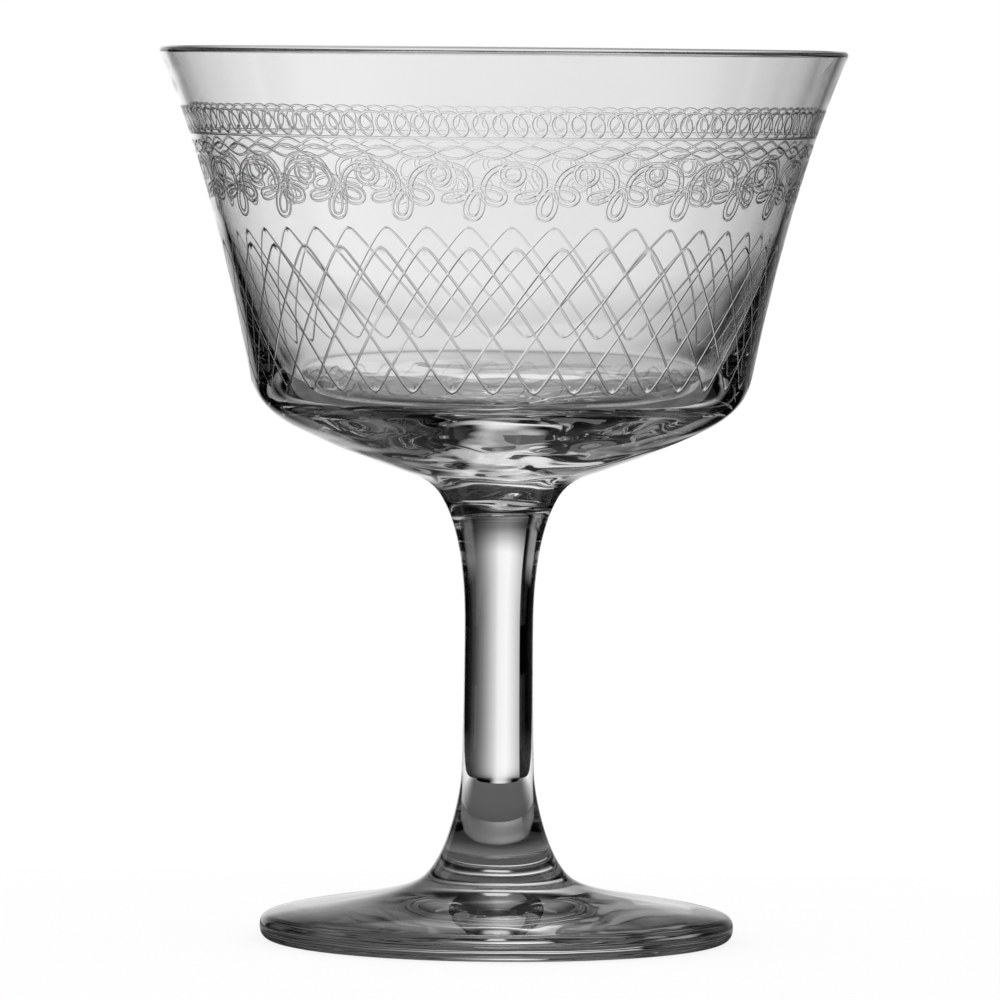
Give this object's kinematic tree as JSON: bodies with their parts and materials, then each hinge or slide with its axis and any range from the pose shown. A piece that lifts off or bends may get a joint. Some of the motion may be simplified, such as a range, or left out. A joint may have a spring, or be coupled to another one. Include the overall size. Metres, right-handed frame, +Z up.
{
  "type": "cocktail glass",
  "caption": "Stemmed cocktail glass with a flared, needle-etched bowl on a thick solid base, a turned stem and a round domed foot.",
  "frame": {"origin": "centre of the foot's underside, on the table", "axes": "+Z up along the axis of the glass, from the foot to the rim; -Y faces the viewer of the picture"},
  "size_m": [0.094, 0.094, 0.122],
  "materials": {
    "clear_glass": "fire polished"
  },
  "bodies": {
    "root": {"bowl": "clear_glass", "stem": "clear_glass", "foot": "clear_glass"}
  },
  "joints": []
}
